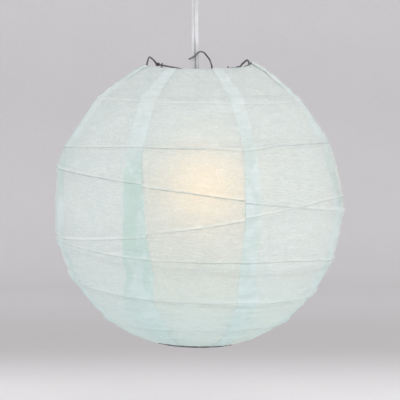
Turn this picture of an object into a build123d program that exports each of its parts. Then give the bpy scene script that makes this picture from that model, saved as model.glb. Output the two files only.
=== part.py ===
# Round paper lantern on a wire expander, hung over a bulb on a flat twin cord.
# Millimetres, +Z up.  The origin is on the ceiling, over the middle of the cord.
# Heights named "..._height" are measured from the middle of the lantern.
import os
from math import cos, degrees, radians, sin, sqrt, tan

from build123d import *

os.makedirs("parts", exist_ok=True)

# Where the lantern hangs
lantern_drop = 272.0  # ceiling to the middle of the lantern
shade_offset = 2.6  # the shade hangs this far to one side of the cord

# Paper shade
lantern_radius = 153.5
paper_thickness = 0.3
layer_gap = 0.05  # glue between two layers of paper
rib_gap = 0.25  # inner layer of paper to the hoops
gore_count = 8
seam_lap = 19.0  # width of the double paper at each seam, along the equator
first_seam = -71.5  # degrees from the front, towards +X
hem = 1.2  # paper above the top ring's centre line
bottom_hem = 0.5  # paper below the bottom ring's centre line

# Hoops, from the top, in degrees: latitude on the shade's sphere, lean towards +X, lean towards +Y
rib_wire = 1.0
rib_places = [
    (46.9, 0.0, 3.0),
    (23.2, 1.0, 0.0),
    (5.8, -8.5, 0.0),
    (-3.5, 7.2, 3.0),
    (-17.8, -4.0, 4.4),
    (-32.1, -3.7, 5.0),
    (-50.5, -0.5, 2.3),
]
crossing_rib = 3  # this hoop crosses the one above it, so it lies inside it
crossing_inset = 1.9
ring_wire = 2.0
top_ring_place = (66.2, 0.0, 0.0)
bottom_ring_place = (-73.3, -1.2, 0.0)

# Wire expander
hanger_wire = 1.8
leg_wire = 1.6
hook_wire = 1.6
wire_gap = 0.1  # between a wire and what rests on it
side_gap = 0.3  # between a wire and what it only passes
eye_radius = 7.9  # centre line of the eye round the cord
eye_wire = 2.0
hanger_bend = 1.5
left_arm_rise = 6.8  # from the eye to the kink before the peak
right_arm_rise = 3.0
arm_start = 9.5
arm_stop = 13.4  # the arm ends this far inside the top ring
left_peak = (5.5, 15.2)  # how far inside the top ring, how high over it
right_peak = (4.6, 12.0)
kink_share = 0.45  # how far out the kink's second bend is, from arm end to peak
kink_back = 1.0  # the second bend leans back over the first
wrap_stop = 14.6  # the bar's wire is wrapped round itself this far inside the top ring
wrap_wire = 1.4
wrap_radius = 1.3  # centre line of the wrapped wire
wrap_pitch = 1.3
wrap_turns = 3
tip_drop = 3.0  # the bar's tip turns down this far over the top ring
tip_reach = 2.4  # tip past the ring's centre line
foot_reach = 1.5  # foot past the ring's centre line
foot_bend = 1.4
hook_place = 14.5
hook_forward = 5.0  # the hook passes in front of the cord
hook_shank = (14.6, 4.6)  # bends of the hook: place along the bar, height over the eye
hook_shoulder = (12.2, 11.5)
hook_crown = (4.0, 21.8)
hook_mouth = (-5.0, 13.9)
hook_tip = (-9.8, 11.6)
hook_coil_bend = 1.5
hook_shoulder_bend = 12.0
hook_bend = 5.0

# Cord and socket
cord_core = 3.9  # diameter of each of the two cores
cord_width = 7.8
cord_web = 2.4
cord_fit = 0.1
cord_clearance = 0.3
socket_radius = 19.5
socket_wall = 2.0
cap_length = 16.0
cap_round = 8.0
cap_wall = 2.5
cap_gap = 0.1  # expander's eye to the socket's cap
bush_radius = 5.4  # through the cap
bush_flange_radius = 8.0  # inside the cap
bush_flange = 3.0
bush_tail = 4.0  # depth of cord held in the bush
shell_length = 50.0
shell_lip = 0.9
insulator_length = 22.0
insulator_chamfer = 1.0
sleeve_radius = 13.9
sleeve_wall = 0.6
sleeve_length = 24.0
contact_radius = 4.0
contact_length = 1.2
part_gap = 0.2  # between pieces of the socket and the bulb

# Bulb
base_radius = 13.0
base_length = 23.0
base_rim = 1.2
tip_insulator_length = 3.5
tip_radius = 4.6
tip_length = 1.4
globe_radius = 30.0
bulb_length = 108.0
neck_radius = 13.4
neck_bend = 14.0
glass_wall = 0.8
globe_angle = 50.0  # where the globe's arc ends, over its equator

# Ceiling fitting
strap_length = 84.0
strap_width = 20.0
strap_thickness = 2.0
strap_corner = 4.0
screw_spacing = 70.0
screw_hole = 2.3
anchor_radius = 7.0
anchor_length = 14.0
anchor_depth = 10.0
clamp_screw_radius = 1.5
clamp_head_radius = 2.8
clamp_head_length = 1.6
cover_room = 4.0  # round the ends of the strap
cover_depth = 38.0
cover_wall = 2.0
cover_round = 12.0
cover_lip = 0.4  # running gap under the ceiling
grip_neck_radius = 6.5
grip_flange_radius = 9.0
grip_flange = 3.0
grip_tail = 9.0
grip_tail_radius = 6.6
grip_nut_radius = 10.0
grip_nut_height = 3.0
grip_screw_radius = 1.4
grip_screw_stand = 1.2

# Worked out from the sizes above
middle = Vector(shade_offset, 0, -lantern_drop)
layer_step = paper_thickness + layer_gap
top_ring_height = lantern_radius * sin(radians(top_ring_place[0]))
eye_height = top_ring_height  # the eye lies level with the top ring
cap_top = middle.Z + eye_height - eye_wire / 2 - cap_gap
cap_bottom = cap_top - cap_length
socket_mouth = cap_bottom - shell_length
insulator_bottom = cap_bottom - insulator_length
base_top = insulator_bottom - contact_length - tip_length - tip_insulator_length - part_gap
base_bottom = base_top - base_length
bulb_bottom = insulator_bottom - contact_length - part_gap - bulb_length
globe_middle = bulb_bottom + globe_radius
cover_radius = strap_length / 2 + cover_room + cover_wall
lap_angle = degrees(seam_lap / lantern_radius)


def hoop(place, inset):
    """Plane and radius of a leaning hoop on the shade's sphere, moved inwards."""
    latitude, lean_x, lean_y = place
    height = lantern_radius * sin(radians(latitude))
    slope_x = tan(radians(lean_x))
    slope_y = tan(radians(lean_y))
    spread = 1 + slope_x**2 + slope_y**2
    centre = Vector(-slope_x, -slope_y, 1) * (height / spread)
    plane = Plane(origin=middle + centre, z_dir=(-slope_x, -slope_y, 1))
    return plane, sqrt((lantern_radius - inset) ** 2 - height**2 / spread)


def hoop_end(place, inset, side):
    """Where a hoop passes over the lantern's left (-1) or right (+1), as distance and height."""
    plane, radius = hoop(place, inset)
    slope = tan(radians(place[1]))
    reach = side * radius / sqrt(1 + slope**2)
    return plane.origin.X - middle.X + reach, plane.origin.Z - middle.Z + reach * slope


wire_inset = layer_step + paper_thickness + rib_gap
ring_inset = wire_inset + ring_wire / 2
top_ring_reach = hoop_end(top_ring_place, ring_inset, 1)[0]
arm_end = top_ring_reach - arm_stop


# Hoops and rings of wire
def make_hoop(name, place, inset, wire):
    plane, radius = hoop(place, inset)
    with BuildPart(plane) as ring:
        Torus(radius, wire / 2)
    ring.part.label = name
    export_step(ring.part, f"parts/{name}.step")


for index, place in enumerate(rib_places):
    nesting = crossing_inset if index == crossing_rib else 0
    make_hoop(f"rib_{index + 1}", place, wire_inset + rib_wire / 2 + nesting, rib_wire)
make_hoop("top_ring", top_ring_place, ring_inset, ring_wire)
make_hoop("bottom_ring", bottom_ring_place, ring_inset, ring_wire)


# Paper: eight gores, each a strip from ring to ring, lapped over its neighbours
def gore_profile(plane, inset):
    """Section of one layer of paper, on a plane through the lantern's axis."""
    outer = lantern_radius - inset
    inner = outer - paper_thickness
    top = top_ring_height + hem
    with BuildSketch(plane) as profile:
        with BuildLine():
            CenterArc((0, 0), outer, -90, 180)
            Line((0, outer), (0, inner))
            CenterArc((0, 0), inner, -90, 180)
            Line((0, -inner), (0, -outer))
        make_face()
        with Locations((ring_wire, top)):
            Rectangle(
                lantern_radius, 2 * lantern_radius, align=(Align.MIN, Align.MAX), mode=Mode.INTERSECT
            )
    return profile.sketch


bottom_plane = hoop(bottom_ring_place, ring_inset)[0]
for index in range(gore_count):
    start = first_seam + index * 360 / gore_count - lap_angle / 2
    outward = Vector(1, 0, 0).rotate(Axis.Z, start - 90)
    meridian = Plane(origin=middle, x_dir=outward, z_dir=outward.cross(Vector(0, 0, 1)))
    with BuildPart() as gore:
        profile = gore_profile(meridian, layer_step if index % 2 else 0)
        revolve(profile, axis=Axis(middle, (0, 0, 1)), revolution_arc=360 / gore_count + lap_angle)
        split(bisect_by=bottom_plane.offset(-bottom_hem), keep=Keep.TOP)
    gore.part.label = f"gore_{index + 1}"
    export_step(gore.part, f"parts/gore_{index + 1}.step")


# Expander: a bar of bent wire across the top ring, with an eye in its middle
def arm_points(side, peak, arm_rise):
    """Bends of one arm of the bar, from the eye to the tip under the top ring."""
    inside = top_ring_reach - ring_wire / 2 - hanger_wire / 2 - side_gap
    under = top_ring_height - ring_wire / 2 - hanger_wire / 2 - wire_gap
    peak_place = top_ring_reach - peak[0]
    peak_height = top_ring_height + peak[1]
    arm_height = eye_height + arm_rise
    kink = arm_end + kink_share * (peak_place - arm_end) - kink_back
    return [
        (side * eye_radius, eye_height),
        (side * arm_start, eye_height),
        (side * arm_end, arm_height),
        (side * kink, arm_height + kink_share * (peak_height - arm_height)),
        (side * peak_place, peak_height),
        (side * inside, top_ring_height + tip_drop),
        (side * inside, under),
        (side * (top_ring_reach + tip_reach), under),
    ]


def on_arm(place, arm_rise):
    """Point and direction of an arm's centre line at a distance right (+) or left (-) of the axis."""
    slope = arm_rise / (arm_end - arm_start)
    height = eye_height + max(0, abs(place) - arm_start) * slope
    direction = Vector(1, 0, slope if place > 0 else -slope).normalized()
    return Vector(place, 0, height) + middle, direction


front = Plane(origin=middle, x_dir=(1, 0, 0), z_dir=(0, -1, 0))
with BuildPart() as hanger_bar:
    for side, peak, rise in ((-1, left_peak, left_arm_rise), (1, right_peak, right_arm_rise)):
        with BuildLine(front) as arm:
            FilletPolyline(*arm_points(side, peak, rise), radius=hanger_bend)
        with BuildSketch(Plane(origin=arm.line @ 0, z_dir=arm.line % 0)):
            Circle(hanger_wire / 2)
        sweep(path=arm.line)
    with BuildSketch(front):
        with Locations((eye_radius, eye_height)):
            Circle(eye_wire / 2)
    revolve(axis=Axis(middle, (0, 0, 1)))
    for side, rise in ((-1, left_arm_rise), (1, right_arm_rise)):
        wrap_middle, along = on_arm(side * (top_ring_reach - wrap_stop), rise)
        across = Plane(origin=wrap_middle, x_dir=(0, 1, 0), z_dir=along.cross(Vector(0, 1, 0)))
        with BuildSketch(across):
            Rectangle(wrap_radius, wrap_turns * wrap_pitch, align=(Align.MIN, Align.CENTER))
            with Locations((wrap_radius, 0)):
                with GridLocations(0, wrap_pitch, 1, wrap_turns):
                    Circle(wrap_wire / 2)
        revolve(axis=Axis(wrap_middle, along))
hanger_bar.part.label = "hanger_bar"
export_step(hanger_bar.part, "parts/hanger_bar.step")


# Legs: each hangs plumb by a coil on an arm and carries the bottom ring on its foot
for name, side, rise in (("left_leg", -1, left_arm_rise), ("right_leg", 1, right_arm_rise)):
    ring_x, ring_z = hoop_end(bottom_ring_place, ring_inset, side)
    inside = ring_x - side * (ring_wire / 2 + leg_wire / 2 + side_gap)
    under = ring_z - ring_wire / 2 - leg_wire / 2 - wire_gap
    seat, along = on_arm(inside, rise)
    coil_radius = (hanger_wire + leg_wire) / 2 + wire_gap
    with BuildPart() as leg:
        with BuildLine(front) as shank:
            FilletPolyline(
                (inside, seat.Z - middle.Z - coil_radius),
                (inside, under),
                (ring_x + side * foot_reach, under),
                radius=foot_bend,
            )
        with BuildSketch(Plane(origin=shank.line @ 0, z_dir=shank.line % 0)):
            Circle(leg_wire / 2)
        sweep(path=shank.line)
        with BuildSketch(Plane(origin=seat, x_dir=(0, 1, 0), z_dir=along.cross(Vector(0, 1, 0)))):
            with Locations((coil_radius, 0)):
                Circle(leg_wire / 2)
        revolve(axis=Axis(seat, along))
    leg.part.label = name
    export_step(leg.part, f"parts/{name}.step")

# Hanging hook: an open hook that stands on the bar, coiled round its right arm
hook_seat, hook_along = on_arm(hook_place, right_arm_rise)
hook_coil = (hanger_wire + hook_wire) / 2 + wire_gap
with BuildPart() as hanging_hook:
    with BuildLine() as bend:
        FilletPolyline(
            hook_seat + Vector(0, -hook_coil, 0),
            *[
                middle + Vector(place, -hook_forward, eye_height + rise)
                for place, rise in (hook_shank, hook_shoulder, hook_crown, hook_mouth, hook_tip)
            ],
            radius=[hook_coil_bend, hook_shoulder_bend, hook_bend, hook_bend],
        )
    with BuildSketch(Plane(origin=bend.line @ 0, z_dir=bend.line % 0)):
        Circle(hook_wire / 2)
    sweep(path=bend.line)
    with BuildSketch(
        Plane(origin=hook_seat, x_dir=(0, 1, 0), z_dir=hook_along.cross(Vector(0, 1, 0)))
    ):
        with Locations((hook_coil, 0)):
            Circle(hook_wire / 2)
    revolve(axis=Axis(hook_seat, hook_along))
hanging_hook.part.label = "hanging_hook"
export_step(hanging_hook.part, "parts/hanging_hook.step")


# Flat twin cord, straight from the anchor in the ceiling fitting to the bush in the cap
def cord_section(extra):
    """Outline of the twin cord, or of a bore that clears it, on the current sketch."""
    with GridLocations(cord_width - cord_core, 0, 2, 1):
        Circle(cord_core / 2 + extra)
    Rectangle(cord_width - cord_core, cord_web + 2 * extra)


cord_top = -strap_thickness - anchor_length + anchor_depth
cord_bottom = cap_top - bush_tail
with BuildPart() as cord:
    with BuildSketch(Plane.XY.offset(cord_bottom)):
        cord_section(0)
    extrude(amount=cord_top - cord_bottom)
cord.part.label = "cord"
export_step(cord.part, "parts/cord.step")


# Socket
with BuildPart() as socket_cap:
    with BuildSketch(Plane.XY.offset(cap_bottom)):
        Circle(socket_radius)
    extrude(amount=cap_length)
    fillet(socket_cap.edges().filter_by(GeomType.CIRCLE).group_by(Axis.Z)[-1], cap_round)
    offset(amount=-cap_wall, openings=socket_cap.faces().sort_by(Axis.Z)[0])
    with BuildSketch(Plane.XY.offset(cap_top)):
        Circle(bush_radius + cord_fit)
    extrude(amount=-cap_wall, mode=Mode.SUBTRACT)
socket_cap.part.label = "socket_cap"
export_step(socket_cap.part, "parts/socket_cap.step")

with BuildPart() as cord_bush:
    with BuildSketch(Plane.XY.offset(cap_top)):
        Circle(bush_radius)
    extrude(amount=-cap_wall - cord_fit)
    with BuildSketch(Plane.XY.offset(cap_top - cap_wall - cord_fit)):
        Circle(bush_flange_radius)
    extrude(amount=-bush_flange)
    with BuildSketch(Plane.XY.offset(cap_top)):
        cord_section(cord_fit)
    extrude(amount=-bush_tail, mode=Mode.SUBTRACT)
cord_bush.part.label = "cord_bush"
export_step(cord_bush.part, "parts/cord_bush.step")

with BuildPart() as socket_shell:
    with BuildSketch(Plane.XY.offset(socket_mouth)):
        Circle(socket_radius)
        Circle(socket_radius - socket_wall, mode=Mode.SUBTRACT)
    extrude(amount=shell_length)
    fillet(socket_shell.edges().group_by(Axis.Z)[0], shell_lip)
socket_shell.part.label = "socket_shell"
export_step(socket_shell.part, "parts/socket_shell.step")

with BuildPart() as socket_insulator:
    with BuildSketch(Plane.XY.offset(cap_bottom)):
        Circle(socket_radius - socket_wall - part_gap)
    extrude(amount=-insulator_length)
    chamfer(socket_insulator.edges().group_by(Axis.Z)[0], insulator_chamfer)
socket_insulator.part.label = "socket_insulator"
export_step(socket_insulator.part, "parts/socket_insulator.step")

with BuildPart() as socket_sleeve:
    with BuildSketch(Plane.XY.offset(insulator_bottom)):
        Circle(sleeve_radius)
        Circle(sleeve_radius - sleeve_wall, mode=Mode.SUBTRACT)
    extrude(amount=-sleeve_length)
socket_sleeve.part.label = "socket_sleeve"
export_step(socket_sleeve.part, "parts/socket_sleeve.step")

with BuildPart() as socket_contact:
    with BuildSketch(Plane.XY.offset(insulator_bottom)):
        Circle(contact_radius)
    extrude(amount=-contact_length)
    fillet(socket_contact.edges().group_by(Axis.Z)[0], contact_length / 2)
socket_contact.part.label = "socket_contact"
export_step(socket_contact.part, "parts/socket_contact.step")

# Bulb: tip, insulator, base and glass
tip_top = insulator_bottom - contact_length - part_gap
with BuildPart() as bulb_tip:
    with BuildSketch(Plane.XY.offset(tip_top)):
        Circle(tip_radius)
    extrude(amount=-tip_length)
    fillet(bulb_tip.edges().group_by(Axis.Z)[-1], tip_length / 2)
bulb_tip.part.label = "bulb_tip"
export_step(bulb_tip.part, "parts/bulb_tip.step")

with BuildPart() as bulb_insulator:
    with BuildSketch(Plane.XZ):
        with BuildLine():
            Polyline(
                (0, tip_top - tip_length),
                (tip_radius, tip_top - tip_length),
                (base_radius - base_rim, base_top),
                (0, base_top),
                close=True,
            )
        make_face()
    revolve(axis=Axis.Z)
bulb_insulator.part.label = "bulb_insulator"
export_step(bulb_insulator.part, "parts/bulb_insulator.step")

with BuildPart() as bulb_base:
    with BuildSketch(Plane.XY.offset(base_top)):
        Circle(base_radius)
    extrude(amount=-base_length)
    fillet(bulb_base.edges().group_by(Axis.Z)[-1], base_rim)
    with BuildSketch(Plane.XY.offset(base_bottom)):
        Circle(base_radius - base_rim)
    extrude(amount=base_length - base_rim, mode=Mode.SUBTRACT)
bulb_base.part.label = "bulb_base"
export_step(bulb_base.part, "parts/bulb_base.step")


def bulb_outline(inset):
    """Half section of the bulb's glass: a round globe that runs up into the neck."""
    radius = globe_radius - inset
    neck = neck_radius - inset
    leave = (radius * cos(radians(globe_angle)), globe_middle + radius * sin(radians(globe_angle)))
    neck_start = leave[1] + (leave[0] - neck) / tan(radians(globe_angle))
    with BuildSketch(Plane.XZ) as outline:
        with BuildLine():
            CenterArc((0, globe_middle), radius, -90, 90 + globe_angle)
            Line(leave, (neck, neck_start))
            Line((neck, neck_start), (neck, base_bottom))
            Line((neck, base_bottom), (0, base_bottom))
            Line((0, base_bottom), (0, globe_middle - radius))
        make_face()
        corner = outline.vertices().sort_by_distance((neck, neck_start, 0))[0]
        fillet(corner, neck_bend)
    return outline.sketch


with BuildPart() as bulb_glass:
    revolve(bulb_outline(0), axis=Axis.Z)
    revolve(bulb_outline(glass_wall), axis=Axis.Z, mode=Mode.SUBTRACT)
bulb_glass.part.label = "bulb_glass"
export_step(bulb_glass.part, "parts/bulb_glass.step")


# Ceiling fitting: a strap with the cord's anchor, and the cover that slides up over it
with BuildPart() as ceiling_strap:
    with BuildSketch():
        RectangleRounded(strap_length, strap_width, strap_corner)
        with GridLocations(screw_spacing, 0, 2, 1):
            Circle(screw_hole, mode=Mode.SUBTRACT)
    extrude(amount=-strap_thickness)
ceiling_strap.part.label = "ceiling_strap"
export_step(ceiling_strap.part, "parts/ceiling_strap.step")

clamp_height = cord_top - anchor_depth / 2
with BuildPart() as cord_anchor:
    with BuildSketch(Plane.XY.offset(-strap_thickness)):
        Circle(anchor_radius)
    extrude(amount=-anchor_length)
    with BuildSketch(Plane.XY.offset(-strap_thickness - anchor_length)):
        cord_section(cord_fit)
    extrude(amount=anchor_depth, mode=Mode.SUBTRACT)
    with BuildSketch(Plane(origin=(0, 0, clamp_height), z_dir=(0, -1, 0))):
        Circle(clamp_screw_radius + cord_fit)
    extrude(amount=anchor_radius, mode=Mode.SUBTRACT)
cord_anchor.part.label = "cord_anchor"
export_step(cord_anchor.part, "parts/cord_anchor.step")

with BuildPart() as clamp_screw:
    with BuildSketch(Plane(origin=(0, -cord_core / 2 - cord_fit, clamp_height), z_dir=(0, -1, 0))):
        Circle(clamp_screw_radius)
    extrude(amount=anchor_radius - cord_core / 2)
    with BuildSketch(Plane(origin=(0, -anchor_radius - cord_fit, clamp_height), z_dir=(0, -1, 0))):
        Circle(clamp_head_radius)
    extrude(amount=clamp_head_length)
clamp_screw.part.label = "clamp_screw"
export_step(clamp_screw.part, "parts/clamp_screw.step")

cover_bottom = -cover_depth
with BuildPart() as ceiling_cover:
    with BuildSketch(Plane.XY.offset(cover_bottom)):
        Circle(cover_radius)
    extrude(amount=cover_depth - cover_lip)
    fillet(ceiling_cover.edges().group_by(Axis.Z)[0], cover_round)
    offset(amount=-cover_wall, openings=ceiling_cover.faces().sort_by(Axis.Z)[-1])
    with BuildSketch(Plane.XY.offset(cover_bottom)):
        Circle(grip_neck_radius + part_gap)
    extrude(amount=cover_wall, mode=Mode.SUBTRACT)
ceiling_cover.part.label = "ceiling_cover"
export_step(ceiling_cover.part, "parts/ceiling_cover.step")

grip_screw_height = cover_bottom - grip_flange - grip_tail / 2
with BuildPart() as cord_grip:
    with BuildSketch(Plane.XY.offset(cover_bottom)):
        Circle(grip_flange_radius)
    extrude(amount=-grip_flange)
    with BuildSketch(Plane.XY.offset(cover_bottom - grip_flange)):
        Circle(grip_tail_radius)
    extrude(amount=-grip_tail)
    with BuildSketch(Plane.XY.offset(cover_bottom)):
        Circle(grip_neck_radius)
    extrude(amount=cover_wall + grip_nut_height)
    with BuildSketch(Plane.XY.offset(cover_bottom - grip_flange - grip_tail)):
        cord_section(cord_clearance)
    extrude(amount=grip_flange + grip_tail + cover_wall + grip_nut_height, mode=Mode.SUBTRACT)
    with BuildSketch(Plane(origin=(0, 0, grip_screw_height), z_dir=(0, -1, 0))):
        Circle(grip_screw_radius + cord_fit)
    extrude(amount=grip_tail_radius, mode=Mode.SUBTRACT)
cord_grip.part.label = "cord_grip"
export_step(cord_grip.part, "parts/cord_grip.step")

with BuildPart() as grip_nut:
    with BuildSketch(Plane.XY.offset(cover_bottom + cover_wall)):
        RegularPolygon(grip_nut_radius, 6)
        Circle(grip_neck_radius + cord_fit, mode=Mode.SUBTRACT)
    extrude(amount=grip_nut_height)
grip_nut.part.label = "grip_nut"
export_step(grip_nut.part, "parts/grip_nut.step")

with BuildPart() as grip_screw:
    with BuildSketch(
        Plane(origin=(0, -cord_core / 2 - cord_clearance, grip_screw_height), z_dir=(0, -1, 0))
    ):
        Circle(grip_screw_radius)
    extrude(amount=grip_tail_radius + grip_screw_stand - cord_core / 2 - cord_clearance)
grip_screw.part.label = "grip_screw"
export_step(grip_screw.part, "parts/grip_screw.step")
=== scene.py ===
from math import atan, atan2, cos, degrees, exp, hypot, pi, radians, sin, sqrt

import bpy
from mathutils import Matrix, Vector, noise


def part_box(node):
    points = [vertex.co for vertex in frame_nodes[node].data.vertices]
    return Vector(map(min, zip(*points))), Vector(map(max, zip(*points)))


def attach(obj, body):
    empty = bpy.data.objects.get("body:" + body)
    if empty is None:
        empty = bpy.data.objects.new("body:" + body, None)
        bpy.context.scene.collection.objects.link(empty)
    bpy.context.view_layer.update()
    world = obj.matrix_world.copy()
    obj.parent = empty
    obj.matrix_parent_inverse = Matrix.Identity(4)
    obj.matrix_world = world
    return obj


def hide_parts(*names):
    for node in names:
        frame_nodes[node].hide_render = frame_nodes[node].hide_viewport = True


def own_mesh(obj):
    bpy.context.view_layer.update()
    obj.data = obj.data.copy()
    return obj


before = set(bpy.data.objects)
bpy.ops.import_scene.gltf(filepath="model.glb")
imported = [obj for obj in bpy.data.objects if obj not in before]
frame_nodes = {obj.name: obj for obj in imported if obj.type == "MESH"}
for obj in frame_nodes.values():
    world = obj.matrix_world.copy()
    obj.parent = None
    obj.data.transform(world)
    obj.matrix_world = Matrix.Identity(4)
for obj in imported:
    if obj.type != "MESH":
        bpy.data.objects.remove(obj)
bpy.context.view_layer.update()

MM = 0.001


# ---------------------------------------------------------------- camera
camera_data = bpy.data.cameras.new("camera")
camera_data.lens = 151.8
camera_data.sensor_width = 36.0
camera_data.clip_start = 0.05
camera_data.clip_end = 30.0
camera = bpy.data.objects.new("camera", camera_data)
bpy.context.scene.collection.objects.link(camera)
camera.location = (0.0047, -1.780, -0.194)
camera.rotation_euler = (radians(90 - 2.38), 0, 0)
bpy.context.scene.camera = camera


# ---------------------------------------------------------------- helpers
def srgb(red, green, blue):
    """Linear colour of an sRGB colour written as 0 to 255."""
    return tuple(
        (c / 255) / 12.92 if c / 255 <= 0.04045 else ((c / 255 + 0.055) / 1.055) ** 2.4
        for c in (red, green, blue)
    ) + (1.0,)


def add_object(name, data):
    obj = bpy.data.objects.new(name, data)
    bpy.context.scene.collection.objects.link(obj)
    return obj


def smooth_mesh(name, vertices, faces):
    data = bpy.data.meshes.new(name)
    data.from_pydata(vertices, [], faces)
    for polygon in data.polygons:
        polygon.use_smooth = True
    return data


class Nodes:
    """Short way to build a node material."""

    def __init__(self, name):
        self.material = bpy.data.materials.new(name)
        self.material.use_nodes = True
        self.tree = self.material.node_tree
        self.tree.nodes.clear()
        self.output = self.tree.nodes.new("ShaderNodeOutputMaterial")

    def node(self, kind, **settings):
        node = self.tree.nodes.new(kind)
        for key, value in settings.items():
            setattr(node, key, value)
        return node

    def put(self, node, socket, value):
        if isinstance(value, bpy.types.NodeSocket):
            self.tree.links.new(value, node.inputs[socket])
        else:
            node.inputs[socket].default_value = value

    def maths(self, operation, first, second=None):
        node = self.node("ShaderNodeMath", operation=operation)
        self.put(node, 0, first)
        if second is not None:
            self.put(node, 1, second)
        return node.outputs[0]

    def add(self, *terms):
        total = terms[0]
        for term in terms[1:]:
            total = self.maths("ADD", total, term)
        return total

    def times(self, first, second):
        return self.maths("MULTIPLY", first, second)

    def distance(self, value, middle):
        """How far a value is from a middle one, without its sign."""
        return self.maths("ABSOLUTE", self.maths("SUBTRACT", value, middle))

    def parts(self, vector):
        """The three parts of a vector."""
        node = self.node("ShaderNodeSeparateXYZ")
        self.put(node, 0, vector)
        return node.outputs

    def uv(self, layer):
        """The two parts of a UV layer."""
        return self.parts(self.node("ShaderNodeUVMap", uv_map=layer).outputs[0])[:2]

    def ramp(self, value, low, high, start=0.0, end=1.0):
        node = self.node("ShaderNodeMapRange", interpolation_type="SMOOTHSTEP")
        self.put(node, "Value", value)
        self.put(node, "From Min", low)
        self.put(node, "From Max", high)
        self.put(node, "To Min", start)
        self.put(node, "To Max", end)
        return node.outputs[0]

    def mix(self, factor, first, second, blend="MIX"):
        node = self.node("ShaderNodeMix", data_type="RGBA", blend_type=blend)
        self.put(node, "Factor", factor)
        self.put(node, 6, first)
        self.put(node, 7, second)
        return node.outputs[2]

    def place(self, scale=(1, 1, 1), shift=(0, 0, 0)):
        coordinates = self.node("ShaderNodeTexCoord")
        mapping = self.node("ShaderNodeMapping")
        self.put(mapping, "Vector", coordinates.outputs["Object"])
        mapping.inputs["Scale"].default_value = scale
        mapping.inputs["Location"].default_value = shift
        return mapping.outputs[0]

    def noise(self, scale, detail=3.0, rough=0.55, distort=0.0, stretch=(1, 1, 1), shift=(0, 0, 0)):
        node = self.node("ShaderNodeTexNoise")
        self.put(node, "Vector", self.place(stretch, shift))
        node.inputs["Scale"].default_value = scale
        node.inputs["Detail"].default_value = detail
        node.inputs["Roughness"].default_value = rough
        node.inputs["Distortion"].default_value = distort
        return node.outputs[0]

    def ridges(self, width, *noise_settings):
        """Thin lines, 1 along them and 0 beside them, where a noise passes its middle value."""
        return self.ramp(self.distance(self.noise(*noise_settings), 0.5), 0.0, width, 1.0, 0.0)

    def bump(self, height, strength, distance):
        node = self.node("ShaderNodeBump")
        node.inputs["Strength"].default_value = strength
        node.inputs["Distance"].default_value = distance
        self.put(node, "Height", height)
        return node.outputs[0]

    def surface(self, **inputs):
        node = self.node("ShaderNodeBsdfPrincipled")
        for key, value in inputs.items():
            self.put(node, key.replace("_", " "), value)
        return node

    def blend(self, factor, first, second):
        """Two shaders in one, by a factor from 0 to 1."""
        node = self.node("ShaderNodeMixShader")
        self.put(node, 0, factor)
        self.tree.links.new(first.outputs[0], node.inputs[1])
        self.tree.links.new(second.outputs[0], node.inputs[2])
        return node

    def finish(self, shader):
        self.tree.links.new(shader.outputs[0], self.output.inputs["Surface"])
        return self.material


def metal(name, colour, dark, roughness, grain=900, bump=0.15):
    """Drawn or rolled metal: fine scratches, cloudy tarnish and uneven gloss."""
    m = Nodes(name)
    cloud = m.noise(120, 4, 0.6)
    fine = m.noise(grain, 4, 0.7, 0.4)
    tint = m.mix(m.ramp(cloud, 0.38, 0.66), dark, colour)
    scratched = tuple(0.6 * c for c in colour[:3]) + (1,)
    tint = m.mix(m.ramp(fine, 0.3, 0.75, 0.0, 0.35), tint, scratched)
    rough = m.ramp(fine, 0.25, 0.8, roughness - 0.08, roughness + 0.14)
    shader = m.surface(Base_Color=tint, Metallic=1.0, Roughness=rough,
                       Normal=m.bump(fine, bump, 0.0003))
    return m.finish(shader)


def plastic(name, colour, dark, roughness, specular=0.45, grain=1400, bump=0.12):
    """Moulded plastic: faint mottling, handling marks and a fine matt grain."""
    m = Nodes(name)
    cloud = m.noise(55, 4, 0.55)
    fine = m.noise(grain, 3, 0.6)
    tint = m.mix(m.ramp(cloud, 0.35, 0.7), dark, colour)
    rough = m.ramp(cloud, 0.3, 0.7, roughness - 0.05, roughness + 0.1)
    shader = m.surface(Base_Color=tint, Roughness=rough, Normal=m.bump(fine, bump, 0.0003))
    shader.inputs["Specular IOR Level"].default_value = specular
    return m.finish(shader)


def paint(material, *names):
    for name in names:
        for slot in frame_nodes[name].material_slots:
            slot.material = material


def smooth(value, low, high):
    """0 at low, 1 at high, with a soft start and end."""
    t = min(1.0, max(0.0, (value - low) / (high - low)))
    return t * t * (3 - 2 * t)


# ---------------------------------------------------------------- cord
cord_low, cord_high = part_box("cord")
cord_top = (0.0, 0.0, cord_high[2])
cord_end = (0.0, 0.0, cord_low[2])
# how far left the middle control point of the cord's line stands; the line bows half as far
CORD_BOW = 0.9 * MM
cord_half_way = (-CORD_BOW, 0.0, (cord_high[2] + cord_low[2]) / 2)

line = bpy.data.curves.new("cord_line", "CURVE")
line.dimensions = "3D"
line.resolution_u = 24
spline = line.splines.new("NURBS")
route = [cord_top, cord_half_way, cord_end]
spline.points.add(len(route) - 1)
for point, place in zip(spline.points, route):
    point.co = (*place, 1.0)
spline.order_u = 3
spline.use_endpoint_u = True
line_object = add_object("cord_line", line)
bpy.context.view_layer.update()
line_mesh = bpy.data.meshes.new_from_object(line_object)
path = [tuple(v.co) for v in line_mesh.vertices]
bpy.data.objects.remove(line_object)
bpy.data.meshes.remove(line_mesh)
path.sort(key=lambda p: -p[2])

# radius of each of the two insulated cores, and half the thickness of the web between them
CORE = 1.95 * MM
WEB = 1.2 * MM
# the web fills the groove in directions whose cosine is under this
WEB_REACH = 0.62
# turn of the section half way down the cord; it comes back to none at both ends
TWIST = radians(-38)


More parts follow.
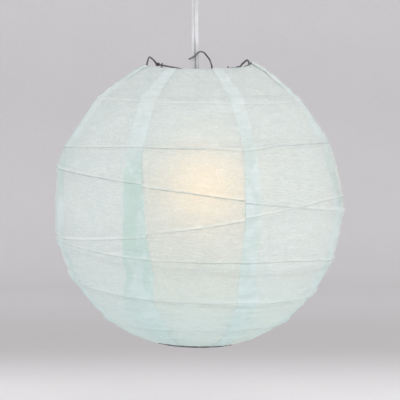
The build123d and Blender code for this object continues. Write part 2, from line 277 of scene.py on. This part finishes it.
def lobe_outline(count=52):
    """Twin section by direction from its middle, with a rounded groove each side."""
    points = []
    for i in range(count):
        angle = 2 * pi * i / count
        along = abs(cos(angle))
        # distance to the far side of the core in this direction
        reach = 2 * CORE * along
        if along < WEB_REACH:
            reach = max(reach, WEB / abs(sin(angle)))
        points.append((reach * cos(angle), reach * sin(angle)))
    return points


section = lobe_outline()
verts = []
faces = []
total = len(path) - 1
for index, (x, y, z) in enumerate(path):
    share = index / total
    turn = TWIST * sin(pi * share) ** 2
    for px, py in section:
        verts.append((x + px * cos(turn) - py * sin(turn), y + px * sin(turn) + py * cos(turn), z))
ring = len(section)
for index in range(total):
    for k in range(ring):
        a = index * ring + k
        b = index * ring + (k + 1) % ring
        faces.append((a, a + ring, b + ring, b))
faces.append(tuple(range(ring)))
faces.append(tuple(range(total * ring + ring - 1, total * ring - 1, -1)))
mesh = smooth_mesh("twin_cord", verts, faces)
# how far out from the groove, and how far down the cord, each as a share
across = mesh.uv_layers.new(name="round")
for loop in mesh.loops:
    row, k = divmod(loop.vertex_index, ring)
    across.data[loop.index].uv = (abs(section[k][0]) / (2 * CORE), row / total)
cord = add_object("twin_cord", mesh)
m = Nodes("cord_vinyl")
cloud = m.noise(90, 4, 0.6)
fine = m.noise(1500, 3, 0.6, 0.3, (1, 1, 0.15))
tint = m.mix(m.ramp(cloud, 0.3, 0.7), srgb(203, 204, 207), srgb(213, 214, 217))
from_groove, down = m.uv("round")
# painted shade in the groove between the two cores
groove = m.ramp(from_groove, 0.06, 0.28, 0.85, 0.0)
# that painted shade is weaker nearer the ceiling
groove = m.times(groove, m.ramp(down, 0.62, 0.80, 0.25, 1.0))
tint = m.mix(groove, tint, srgb(128, 129, 132))
shader = m.surface(Base_Color=tint, Roughness=m.ramp(fine, 0.3, 0.7, 0.36, 0.5),
                   Normal=m.bump(fine, 0.2, 0.0003))
mesh.materials.append(m.finish(shader))
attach(cord, "fitting")
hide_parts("cord")


# ---------------------------------------------------------------- paper shade
ring_low, ring_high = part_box("top_ring")
# height of the top ring over the shade's middle, mm
RING_Z = 140.4
centre = Vector(((ring_low[0] + ring_high[0]) / 2, (ring_low[1] + ring_high[1]) / 2,
                 (ring_low[2] + ring_high[2]) / 2 - RING_Z * MM))
ring_radius = (ring_high[0] - ring_low[0]) / 2 / MM

# radius of the shade, and how far every second gore lies inside its neighbours, mm
RADIUS = 153.5
LAYER = 0.45

# height, slope to the right and slope to the back of the crease over each hoop
CREASES = [
    (112.0, 0.0, 0.062),
    (62.2, 0.016, 0.002),
    (15.6, -0.150, 0.0),
    (-9.4, 0.128, 0.057),
    (-43.5, -0.080, 0.078),
    (-81.4, -0.065, 0.089),
    (-118.6, -0.010, 0.040),
]
# height, slope to the right and radius of the paper's edge at the bottom ring, and how far the
# edge is moved to the left, mm
BASE_Z, BASE_SLOPE, BASE_R, BASE_SHIFT = -146.4, -0.0209, 38.4, 3.1

# how far each crease wanders from its plane, by direction: the paper pulls on the hoops
WANDER_AT = [-180, -130, -90, -60, -29, 0, 21, 38, 54, 66, 90, 135, 180]
WANDER = [
    [0.5, -0.4, 0.0, 0.2, 0.3, -0.6, -2.0, -2.6, -2.4, -1.8, -0.8, -0.4, 0.5],
    [0.3, -0.5, 0.8, 0.5, 0.4, -2.0, -5.2, -0.6, 0.4, 0.8, 0.5, 0.8, 0.3],
    [-0.6, 0.5, 2.6, 1.6, 0.2, 0.0, -0.3, 0.5, 1.2, 1.6, 0.8, 0.6, -0.6],
    [0.6, -0.8, -1.2, -2.4, -1.6, 0.2, 3.0, 4.6, 5.8, 3.8, -1.8, 0.5, 0.6],
    [-0.8, 0.9, 2.0, 1.0, -0.2, 3.6, 6.0, 7.4, 5.8, 2.8, 0.2, -0.6, -0.8],
    [0.4, -0.5, 2.6, 0.6, -1.8, 0.4, 2.0, 1.0, 0.6, 0.4, 0.2, 0.7, 0.4],
    [-0.3, 0.4, 0.2, -0.2, -0.4, 0.6, 0.3, -0.3, -0.5, 0.0, 0.2, -0.4, -0.3],
]
# for each panel from the bottom up: how far it swells, as a share of what a sphere of the
# shade's radius would, and its rows of faces
BULGE = [1.25, 0.75, 0.55, 0.5, 0.35, 0.25, 0.2, 0.55]
ROWS = [32, 22, 22, 20, 16, 27, 31, 30]

# how strongly each crease shows, by panel from the bottom up: the painted shadow of the wire under
# the panel's upper end, and the painted highlight over its lower end
DARK = [0.1, 0.5, 0.85, 0.55, 0.95, 0.8, 0.25, 0.0]
HIGHLIGHT = [0.0, 0.15, 0.4, 0.5, 1.0, 0.75, 0.55, 0.5]


def hoop_outline(name):
    """Height and outer radius of one hoop by whole degrees of direction, mm from the shade's
    middle."""
    hoop = frame_nodes[name]
    heights, counts, reaches = [0.0] * 360, [0] * 360, [0.0] * 360
    for vertex in hoop.data.vertices:
        place = hoop.matrix_world @ vertex.co - centre
        direction = round(degrees(atan2(place.x, -place.y))) % 360
        heights[direction] += place.z / MM
        counts[direction] += 1
        reaches[direction] = max(reaches[direction], hypot(place.x, place.y) / MM)
    outline = []
    for direction in range(360):
        near = [(direction + step) % 360 for step in range(-4, 5)]
        count = sum(counts[i] for i in near)
        outline.append((sum(heights[i] for i in near) / count, max(reaches[i] for i in near)))
    return outline


# the hoops' wire radius, mm, and the share of its height that the shade keeps when folded
HOOP_WIRE = 0.5
FOLDED = 0.2
RIBS = [f"rib_{index + 1}" for index in range(7)]
HOOPS = [hoop_outline(name) for name in RIBS]

# seams: direction from the front towards the right at seven heights, and width of the lap there
SEAM_Z = [-150.0, -101.0, -59.0, 4.0, 57.0, 110.0, 150.0]
# the place in that list of the height nearest to the shade's middle
SEAM_MIDDLE = 3
SEAMS = [
    ((-70.0, -70.5, -70.5, -70.2, -69.5, -69.0, -69.0), (24, 24, 25, 26, 25, 22, 20)),
    ((-31.5, -29.6, -24.4, -24.4, -25.8, -26.6, -27.0), (38, 36, 30, 22, 17, 18, 19)),
    ((26.5, 24.6, 20.4, 20.6, 21.0, 20.6, 19.4), (22, 23, 17, 17, 14, 14, 20)),
    ((69.0, 69.5, 69.8, 69.8, 69.5, 72.0, 78.0), (22, 24, 24, 26, 25, 22, 19)),
    ((112.0, 112.0, 112.5, 113.0, 112.0, 111.0, 109.5), (21, 19, 20, 18, 19, 20, 19)),
    ((152.5, 153.0, 154.0, 153.5, 153.0, 154.5, 154.0), (19, 22, 20, 18, 19, 18, 19)),
    ((199.0, 198.5, 198.0, 197.0, 198.0, 199.0, 199.5), (24, 22, 19, 19, 21, 20, 19)),
    ((243.0, 243.5, 244.5, 244.0, 243.0, 242.5, 242.0), (19, 20, 22, 20, 18, 20, 19)),
]


def along_table(z, places, values):
    """Value at one place of a table, with soft steps from each entry to the next."""
    if z <= places[0]:
        return values[0]
    for i in range(len(places) - 1):
        if z <= places[i + 1]:
            t = smooth(z, places[i], places[i + 1])
            return values[i] + (values[i + 1] - values[i]) * t
    return values[-1]


def sphere_radius(z):
    """Radius of the shade at one height: a sphere, a little fuller round its shoulder."""
    return sqrt(max(RADIUS * RADIUS - z * z, 1.0)) + 1.4 * exp(-(((z - 112) / 22) ** 2))


def turn_from(angle, direction):
    """Angle in degrees between two directions."""
    return abs((angle - direction + 180) % 360 - 180)


def spread(slope_x, slope_y, angle):
    """Share by which a leaning hoop grows in one direction as it levels in the folded shade."""
    lean = hypot(slope_x, slope_y)
    uphill = degrees(atan2(slope_x, -slope_y))
    return (cos(atan(FOLDED * lean)) - cos(atan(lean))) * cos(radians(angle - uphill)) ** 2


def rim_lift(angle):
    """How far the wire's ends push the top rim up, mm."""
    right = 10.6 * exp(-((turn_from(angle, 90) / 34) ** 2))
    left = 6.0 * exp(-((turn_from(angle, -90) / 40) ** 2))
    uneven = noise.noise(Vector((sin(radians(angle)) * 3, cos(radians(angle)) * 3, 4.2)))
    return right + left - 1.7 + 0.5 * uneven


def corner_points(angle):
    """Corners of the shade's section at one direction, from the bottom ring to the rim, as
    (r, z)."""
    sine, cosine = sin(radians(angle)), cos(radians(angle))
    heights = []
    for (height, slope_x, slope_y), wander in zip(CREASES, WANDER):
        height += along_table((angle + 180) % 360 - 180, WANDER_AT, wander)
        z = height
        for _ in range(4):
            r = sphere_radius(z)
            z = height + slope_x * r * sine - slope_y * r * cosine
        heights.append(z)
    heights.sort()
    for i in range(1, len(heights)):
        heights[i] = max(heights[i], heights[i - 1] + 0.5)
    corners = [(BASE_R - BASE_SHIFT * sine, BASE_Z + BASE_SLOPE * (BASE_R * sine))]
    corners += [(sphere_radius(z), z) for z in heights]
    corners.append((ring_radius + 1.6, RING_Z + 0.7 + rim_lift(angle)))
    return corners


def wrinkle(angle, z, seam_mm, crease_mm):
    """Small moves of the paper off its section, outwards, mm."""
    a = radians(angle)
    ring_x, ring_y = sin(a) * RADIUS, cos(a) * RADIUS
    far = smooth(crease_mm, 0.0, 9.0)
    # slack of the panel
    total = 0.55 * far * noise.noise(Vector((ring_x / 38, ring_y / 38, z / 30)))
    # long level creases from folding flat
    level = noise.noise(Vector((ring_x / 26 + 7, ring_y / 26, z / 3.4)))
    where = smooth(noise.noise(Vector((ring_x / 52, ring_y / 52 + 3, z / 36))), -0.15, 0.35)
    slack_side = exp(-(((angle - 52) / 24) ** 2) - ((z - 32) / 24) ** 2)
    where = max(where, 1.5 * slack_side)
    near_seam = exp(-((seam_mm / 17) ** 2))
    total += far * (0.20 + 0.60 * where + 0.95 * near_seam) * level
    # crinkle over the laps
    total += 0.55 * far * near_seam * noise.noise(Vector((ring_x / 6, ring_y / 6, z / 3.0 + 9)))
    # gathers across the hoops
    gather = exp(-((crease_mm / 6.5) ** 2)) * smooth(crease_mm, 0.0, 1.5)
    total += 0.45 * gather * noise.noise(Vector((ring_x / 3.6, ring_y / 3.6, z / 11)))
    # cockle of the sheet
    total += 0.26 * far * noise.noise(Vector((ring_x / 8.5, ring_y / 8.5, z / 8.5)))
    return total


# the distance from a crease that counts as 1 in the UV layer, mm, and one too long to show it
CREASE_UNIT = 50
NO_CREASE = 0.6
# paper turned in over the top ring, mm, and the section of that hem as (in, up) from the rim
HEM = 4.7
HEM_STEPS = ((0.5, 0.85), (1.5, 1.25), (2.6, 1.1), (3.2, 0.3), (3.3, -0.8))
# faces across a gore
COLUMNS = 46
# a lap narrows with the radius inside the first of these, and no more inside the second, mm
FULL_LAP_R, LEAST_LAP_R = 105, 45
# the paper clears a hoop's wire by the first of these; that room eases off to each side of the
# wire with the square of the distance, and stops at the third, mm
WIRE_ROOM, WIRE_EASING, WIRE_REACH = 0.35, 0.04, 8.0


def wavering(z, seam):
    """Unevenness of a lap's width, mm."""
    return (0.9 * noise.noise(Vector((z / 19, seam * 5.1, 0)))
            + 1.3 * noise.noise(Vector((z / 6.5, seam * 5.1, 3))))


def gore_mesh(index):
    """One gore of paper as a grid, with its laps and creases measured into its UV layers, and the
    width, length and area it was cut to."""
    widest, longest, area = 0.0, HEM, 0.0
    left = SEAMS[index]
    right = SEAMS[(index + 1) % len(SEAMS)]
    wrap = 360 if index == len(SEAMS) - 1 else 0
    inset = LAYER if index % 2 else 0.0
    grid = []
    lap_uv = []
    crease_uv = []
    for column in range(COLUMNS + 1):
        u = column / COLUMNS
        first_angle = left[0][SEAM_MIDDLE]
        middle_angle = first_angle + (right[0][SEAM_MIDDLE] + wrap - first_angle) * u
        corners = corner_points(middle_angle)
        line_points = []
        line_laps = []
        line_creases = []
        for panel in range(len(corners) - 1):
            (r0, z0), (r1, z1) = corners[panel], corners[panel + 1]
            chord = hypot(r1 - r0, z1 - z0)
            out_r, out_z = (z1 - z0) / chord, -(r1 - r0) / chord
            sag = BULGE[panel] * chord * chord / (8 * RADIUS)
            rows = ROWS[panel]
            first = 0 if panel == 0 else 1
            for row in range(first, rows + 1):
                t = row / rows
                swell = 4 * t * (1 - t) * sag
                r = r0 + (r1 - r0) * t + out_r * swell
                z = z0 + (z1 - z0) * t + out_z * swell
                start = along_table(z, SEAM_Z, left[0])
                stop = along_table(z, SEAM_Z, right[0]) + wrap
                lap_left = along_table(z, SEAM_Z, left[1])
                lap_right = along_table(z, SEAM_Z, right[1])
                lap_left += wavering(z, index)
                lap_right += wavering(z, (index + 1) % len(SEAMS))
                squeeze = min(1.0, max(r, LEAST_LAP_R) / FULL_LAP_R)
                start -= lap_left * squeeze / 2 / r * 180 / pi
                stop += lap_right * squeeze / 2 / r * 180 / pi
                angle = start + (stop - start) * u
                across = (stop - start) * pi / 180 * r
                from_left, from_right = across * u, across * (1 - u)
                if column == COLUMNS // 2:
                    widest = max(widest, across)
                    longest += chord / rows
                    area += across * chord / rows
                crease_mm = chord * min(t, 1 - t)
                seam_mm = min(abs(from_left - lap_left * squeeze / 2),
                              abs(from_right - lap_right * squeeze / 2))
                move = wrinkle(angle, z, seam_mm, crease_mm) - inset
                if panel == 0:
                    move *= smooth(t, 0.0, 0.12) if move < 0 else 1
                # room for the hoops' wire, which stays round when the shade folds
                room = hypot(HOOP_WIRE * out_r, HOOP_WIRE / FOLDED * out_z) + WIRE_ROOM
                for (_, slope_x, slope_y), outline in zip(CREASES, HOOPS):
                    hoop_z, hoop_r = outline[round(angle) % 360]
                    from_hoop_r, from_hoop_z = r - (hoop_r - HOOP_WIRE), z - hoop_z
                    out = from_hoop_r * out_r + from_hoop_z * out_z
                    along = from_hoop_z * out_r - from_hoop_r * out_z
                    if abs(along) < WIRE_REACH:
                        levelling = spread(slope_x, slope_y, angle) * hoop_r * out_r
                        easing = WIRE_EASING * along * along
                        move = max(move, room + levelling - easing - out + LAYER - inset)
                a = radians(angle)
                radial = r + out_r * move
                z_moved = z + out_z * move
                line_points.append((radial * sin(a), -radial * cos(a), z_moved))
                line_laps.append((from_left / (lap_left * squeeze),
                                  from_right / (lap_right * squeeze)))
                line_creases.append((chord * (1 - t) / CREASE_UNIT, chord * t / CREASE_UNIT, panel))
        # hem folded over the top ring
        top = line_points[-1]
        reach = hypot(top[0], top[1])
        for step_in, rise in HEM_STEPS:
            share = (reach - step_in) / reach
            line_points.append((top[0] * share, top[1] * share, top[2] + rise))
            line_laps.append(line_laps[-1])
            line_creases.append((1.0, 1.0, len(corners) - 2))
        grid.append(line_points)
        lap_uv.append(line_laps)
        crease_uv.append(line_creases)
    height = len(grid[0])
    vertices = [
        (centre.x + x * MM, centre.y + y * MM, centre.z + z * MM)
        for line_points in grid for x, y, z in line_points
    ]
    quads = []
    for column in range(COLUMNS):
        for row in range(height - 1):
            a = column * height + row
            b = a + height
            quads.append((a, b, b + 1, a + 1))
    data = smooth_mesh(f"paper_gore_{index + 1}", vertices, quads)
    laps = data.uv_layers.new(name="laps")
    creases = data.uv_layers.new(name="creases")
    strengths = data.uv_layers.new(name="strengths")
    for polygon in data.polygons:
        loops = [data.loops[i] for i in polygon.loop_indices]
        panel = max(crease_uv[l.vertex_index // height][l.vertex_index % height][2] for l in loops)
        for loop_index, loop in zip(polygon.loop_indices, loops):
            column, row = divmod(loop.vertex_index, height)
            laps.data[loop_index].uv = lap_uv[column][row]
            above, below, own = crease_uv[column][row]
            if own < panel:
                above, below = NO_CREASE, 0.0
            creases.data[loop_index].uv = (above, below)
            strengths.data[loop_index].uv = (DARK[panel], HIGHLIGHT[panel])
    return data, (widest * MM, longest * MM), (area + HEM * across) * MM * MM


m = Nodes("rice_paper")
spot_x, _, spot_z = m.parts(m.place())
shade_top, shade_foot = centre.z + RING_Z * MM, centre.z + BASE_Z * MM

# laps: 1 where the paper is double, with a ragged edge
lap_left, lap_right = m.uv("laps")
lap_distance = m.maths("MINIMUM", lap_left, lap_right)
lap_distance = m.add(lap_distance, m.ramp(m.noise(260, 3, 0.6), 0.2, 0.8, -0.03, 0.03))
double = m.ramp(lap_distance, 0.96, 1.04, 1.0, 0.0)
cut_edge = m.ramp(lap_distance, 0.0, 0.09, 1.0, 0.0)

# creases: painted shadow of the wire at each panel's upper end, painted highlight at its lower end
above, below = m.uv("creases")
dark_strength, highlight_strength = m.uv("strengths")
frayed = m.ramp(m.noise(240, 3, 0.6), 0.3, 0.7, -0.006, 0.006)
shadow_line = m.times(m.ramp(m.add(above, frayed), 0.004, 0.032, 1.0, 0.0), dark_strength)
shadow_line = m.times(shadow_line, m.ramp(m.noise(24, 2, 0.5), 0.36, 0.62, 0.55, 1.1))
lit_ridge_line = m.times(m.ramp(m.add(below, frayed), 0.016, 0.070, 1.0, 0.0), highlight_strength)
lit_ridge_line = m.times(lit_ridge_line, m.ramp(m.noise(31, 2, 0.5), 0.36, 0.62, 0.4, 1.1))

# folds pressed into the sheet: fine ridges painted pale as highlights, and dark valleys of painted
# shade
valleys = m.times(m.ridges(0.045, 78, 3, 0.6, 1.8, (1.1, 1.1, 2.6)), 0.8)
folds = m.maths("SUBTRACT", m.ridges(0.050, 95, 3, 0.6, 1.3, (1, 1, 1.8)), valleys)
# long near-level folds, each with a painted highlight along its top and painted shade in the valley
# under it
level_noise = (27, 3, 0.6, 1.5, (1, 1, 6.8))
under = (0, 0, 0.0085)
levels = m.maths("SUBTRACT", m.ridges(0.07, *level_noise), m.ridges(0.07, *level_noise, under))
# slack: 1 in the loose paper at the right, where two hoops stand far apart
slack = m.times(m.ramp(spot_x, centre.x + 0.055, centre.x + 0.085),
                m.ramp(m.distance(spot_z, centre.z + 0.036), 0.015, 0.050, 1.0, 0.0))
near_crease = m.ramp(m.maths("MINIMUM", above, below), 0.0, 0.3, 0.5, 0.0)
levels = m.times(levels, m.add(m.ramp(slack, 0.0, 1.0, 0.25, 1.35), near_crease))

# tone of the single sheet, 0 dark to 1 pale, with the painted highlights and shade of its folds
cloud = m.noise(34, 5, 0.6, 0.6)
mottle = m.noise(270, 4, 0.7, 1.6)
fibre = m.noise(520, 3, 0.65, 2.6, (1, 1, 0.7))
grain = m.noise(1300, 2, 0.6)
streaks = m.ramp(m.noise(88, 4, 0.6, 1.6, (1, 1, 4.6)), 0.34, 0.66, -0.5, 0.5)
tone = m.add(
    m.ramp(mottle, 0.28, 0.72, -0.25, 0.25),
    m.ramp(fibre, 0.3, 0.72, -0.15, 0.15),
    m.ramp(cloud, 0.3, 0.7, -0.15, 0.15),
    m.times(folds, 0.8),
    m.times(streaks, m.ramp(slack, 0.0, 1.0, 0.35, 0.8)),
    m.times(levels, 0.75),
    m.times(slack, 0.65),
)
tone = m.ramp(tone, -1.15, 1.25)
sheet = m.mix(tone, srgb(219, 230, 231), srgb(233, 242, 243))
# painted warm light from the bulb on the panels nearest to it
bulb_glow_tint = m.times(m.ramp(m.distance(spot_x, centre.x), 0.045, 0.065, 1.0, 0.0),
               m.ramp(m.distance(spot_z, centre.z - 0.025), 0.060, 0.100, 1.0, 0.0))
sheet = m.mix(bulb_glow_tint, sheet, (0.995, 0.965, 0.925, 1.0), "MULTIPLY")

# colour of the laps
patch = m.ramp(m.noise(46, 3, 0.6, 0.5, (1, 1, 0.6)), 0.40, 0.62)
lapped = m.mix(patch, srgb(221, 234, 232), srgb(233, 243, 245))
high_up = m.ramp(spot_z, shade_top - 0.12, shade_top - 0.02)
lapped = m.mix(m.times(high_up, 0.8), lapped, srgb(242, 249, 250))
lapped = m.mix(m.ramp(tone, 0.0, 1.0, 0.3, 0.0), lapped, srgb(208, 230, 226))
# the paste shows greener along the middle of the left lap
greener = m.times(m.ramp(spot_x, centre.x - 0.045, centre.x - 0.030, 1.0, 0.0),
                  m.ramp(m.distance(spot_z, centre.z - 0.018), 0.045, 0.085, 1.0, 0.0))
greener = m.times(greener, m.ramp(spot_x, centre.x - 0.105, centre.x - 0.085))
greener = m.times(greener, m.ramp(patch, 0.0, 1.0, 0.75, 0.4))
lapped = m.mix(greener, lapped, srgb(207, 229, 223))

# sheet, laps, creases and the painted shadow along the laps' cut edges together
colour = m.mix(double, sheet, lapped)
low_down = m.ramp(spot_z, shade_foot, shade_foot + 0.12, 1.0, 0.0)
colour = m.mix(m.times(low_down, 0.65), colour, srgb(228, 250, 249))
# painted highlight along the top of each crease, then the wire's painted shadow under it
colour = m.mix(m.times(lit_ridge_line, 0.68), colour, srgb(247, 254, 254))
colour = m.mix(m.times(shadow_line, 0.48), colour, srgb(140, 160, 152))
# painted shadow along the cut edges of the laps, in patches and most where the paper is crinkled
crinkled = m.times(m.ramp(m.distance(spot_z, centre.z + 0.012), 0.015, 0.045, 1.0, 0.0),
                   m.ramp(spot_x, 0.0, 0.04))
crinkled = m.times(crinkled, m.ramp(m.noise(130, 3, 0.6, 0.5, (1, 1, 1.5)), 0.42, 0.58))
lap_edge_shadow = m.add(m.ramp(m.noise(17, 2, 0.5), 0.44, 0.60, 0.0, 0.14), m.times(crinkled, 0.35))
colour = m.mix(m.times(cut_edge, lap_edge_shadow), colour, srgb(160, 192, 180))

height_map = m.add(
    m.times(fibre, 0.6),
    m.times(grain, 0.15),
    m.times(mottle, 1.2),
    m.times(folds, 1.3),
    m.times(levels, 1.6),
    m.times(streaks, m.ramp(slack, 0.0, 1.0, 0.6, 2.6)),
    m.times(m.maths("MAXIMUM", shadow_line, lit_ridge_line), 0.9),
)
front = m.surface(Base_Color=colour, Roughness=0.72, Normal=m.bump(height_map, 0.5, 0.0009))
front.inputs["Specular IOR Level"].default_value = 0.18
through = m.node("ShaderNodeBsdfTranslucent")
m.put(through, "Color", colour)
haze = m.node("ShaderNodeBsdfRefraction")
m.put(haze, "Color", colour)
haze.inputs["Roughness"].default_value = 1.0
haze.inputs["IOR"].default_value = 1.33
soft = m.blend(m.ramp(double, 0.0, 1.0, 0.22, 0.16), front, through)
paper = m.finish(m.blend(m.ramp(tone, 0.0, 1.0, 0.15, 0.09), soft, haze))

for index in range(len(SEAMS)):
    data, cut, cut_area = gore_mesh(index)
    gore = add_object(f"paper_gore_{index + 1}", data)
    gore.data.materials.append(paper)
    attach(gore, "lantern")
    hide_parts(f"gore_{index + 1}")
    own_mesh(gore)


def bent_ring():
    """The top ring as the expander holds it: its ends lift the ring, and the front and back dip."""
    turns, sides = 160, 12
    wire = (ring_high[2] - ring_low[2]) / MM / 2
    verts, quads = [], []
    for i in range(turns):
        angle = 360 * i / turns
        a = radians(angle)
        lift = rim_lift(angle) + RING_Z
        for k in range(sides):
            b = 2 * pi * k / sides
            r = ring_radius - wire + wire * cos(b)
            verts.append((centre.x + r * sin(a) * MM, centre.y - r * cos(a) * MM,
                          centre.z + (lift + wire * sin(b)) * MM))
    for i in range(turns):
        for k in range(sides):
            j, n = (i + 1) % turns, (k + 1) % sides
            quads.append((i * sides + k, j * sides + k, j * sides + n, i * sides + n))
    return smooth_mesh("bent_top_ring", verts, quads)


top_ring = add_object("bent_top_ring", bent_ring())
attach(top_ring, "lantern")
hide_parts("top_ring")

# ---------------------------------------------------------------- wires
hoop_steel = metal("hoop_steel", srgb(150, 152, 153), srgb(96, 98, 100), 0.42)
dark_steel = metal("dark_steel", srgb(128, 128, 131), srgb(78, 78, 81), 0.36, 1100)
paint(hoop_steel, *RIBS)
top_ring.data.materials.append(hoop_steel)
paint(dark_steel, "hanger_bar", "hanging_hook", "left_leg", "right_leg", "bottom_ring")

# ---------------------------------------------------------------- lamp holder, bulb, fitting
white_plastic = plastic("white_plastic", srgb(219, 218, 214), srgb(213, 212, 208), 0.42)
ceramic = plastic("ceramic", srgb(222, 218, 208), srgb(200, 196, 186), 0.5, 0.5, 700, 0.3)
black_glass = plastic("black_glass", srgb(34, 32, 36), srgb(20, 19, 24), 0.2, 0.5, 500, 0.1)
brass = metal("brass", srgb(201, 168, 96), srgb(150, 118, 60), 0.34)
cap_metal = metal("cap_metal", srgb(190, 192, 194), srgb(146, 148, 150), 0.32, 1500, 0.1)
zinc = metal("zinc", srgb(178, 181, 184), srgb(132, 136, 142), 0.4, 350, 0.2)
paint(white_plastic,
      "socket_cap", "socket_shell", "ceiling_cover", "cord_grip", "cord_bush", "grip_nut")
paint(ceramic, "socket_insulator")
paint(black_glass, "bulb_insulator")
paint(brass, "socket_sleeve", "socket_contact")
paint(cap_metal, "bulb_base", "bulb_tip")
paint(zinc, "ceiling_strap", "cord_anchor", "clamp_screw", "grip_screw")

m = Nodes("frosted_glass")
grain = m.noise(1200, 3, 0.6)
cloud = m.noise(45, 3, 0.5)
glass = m.surface(
    Base_Color=m.mix(cloud, srgb(246, 240, 226), srgb(252, 250, 244)),
    Roughness=m.ramp(grain, 0.3, 0.7, 0.34, 0.5),
    Normal=m.bump(grain, 0.1, 0.0002),
)
# brightest low in the globe and to its right
spot_x, _, spot_z = m.parts(m.place())
globe_low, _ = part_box("bulb_glass")
lit_x, lit_z = 0.020, globe_low[2] + 0.024
beside = m.times(m.maths("SUBTRACT", spot_x, lit_x), 0.7)
over = m.maths("SUBTRACT", spot_z, lit_z)
away = m.maths("SQRT", m.add(m.times(beside, beside), m.times(over, over)))
m.put(glass, "Emission Strength", m.ramp(away, 0.002, 0.036, 9.7, 0.9))
glass.inputs["Emission Color"].default_value = (1.0, 0.45, 0.015, 1.0)
paint(m.finish(glass), "bulb_glass")


# ---------------------------------------------------------------- stage
def sweep_profile():
    """Side view of floor and wall: one sheet with a wide bend, as (y, z)."""
    floor_z, wall_y, bend = -0.560, 2.75, 0.6
    points = [(y, floor_z) for y in (-3.2, -1.6, -0.6, 0.0, 0.8, 1.6)]
    for i in range(17):
        angle = radians(-90 + 90 * i / 16)
        points.append((wall_y - bend + bend * cos(angle), floor_z + bend + bend * sin(angle)))
    return points + [(wall_y, z) for z in (0.4, 1.2, 2.4)]


profile = sweep_profile()
wide = [-3.0, -1.2, 0.0, 1.2, 3.0]
vertices = [(x, y, z) for x in wide for y, z in profile]
count = len(profile)
quads = [
    (i * count + j, (i + 1) * count + j, (i + 1) * count + j + 1, i * count + j + 1)
    for i in range(len(wide) - 1) for j in range(count - 1)
]
mesh = smooth_mesh("backdrop", vertices, quads)
backdrop = add_object("backdrop", mesh)
m = Nodes("backdrop_paper")
_, spot_y, spot_z = m.parts(m.place())
# the wall painted lighter higher up, a band of painted shade on the floor before it bends into the
# wall, and a paler floor in front
wall = m.mix(m.ramp(spot_z, -0.55, -0.36), srgb(204, 203, 204), srgb(206, 204, 206))
wall = m.mix(m.ramp(spot_z, -0.16, 0.10), wall, srgb(213, 211, 213))
shaded_far_floor = m.mix(m.ramp(spot_y, 1.15, 1.9), srgb(192, 190, 191), wall)
ground = m.mix(m.ramp(spot_y, 0.47, 1.08), srgb(232, 231, 232), shaded_far_floor)
tint = m.mix(m.ramp(m.noise(7, 3, 0.5), 0.3, 0.7, 0.0, 0.05), ground, srgb(180, 176, 178))
tint = m.mix(m.ramp(m.noise(150, 3, 0.6), 0.35, 0.65, 0.0, 0.05), tint, srgb(170, 166, 170))
shader = m.surface(Base_Color=tint, Roughness=0.9,
                   Normal=m.bump(m.noise(300, 3, 0.6), 0.05, 0.001))
shader.inputs["Specular IOR Level"].default_value = 0.1
mesh.materials.append(m.finish(shader))

# ---------------------------------------------------------------- light
world = bpy.data.worlds.new("studio")
bpy.context.scene.world = world
world.use_nodes = True
sky = world.node_tree.nodes["Background"]
sky.inputs["Color"].default_value = (1.0, 0.995, 1.0, 1.0)
sky.inputs["Strength"].default_value = 1.0


def soft_box(name, place, aim, size, power):
    data = bpy.data.lights.new(name, "AREA")
    data.shape = "SQUARE"
    data.size = size
    data.energy = power
    lamp = add_object(name, data)
    lamp.location = place
    lamp.rotation_euler = (Vector(aim) - Vector(place)).to_track_quat("-Z", "Y").to_euler()


soft_box("key", (0.3, -1.9, 1.6), (0, 0, -0.22), 0.9, 11.5)
soft_box("low", (0.1, -1.9, -0.42), (0, 0, -0.4), 0.5, 0.6)
soft_box("left_side", (-0.7, -0.6, -0.50), (0, 0, -0.44), 0.3, 2.2)
soft_box("right_side", (0.7, -0.6, -0.50), (0, 0, -0.44), 0.3, 2.5)

bpy.context.scene.view_settings.view_transform = "Standard"
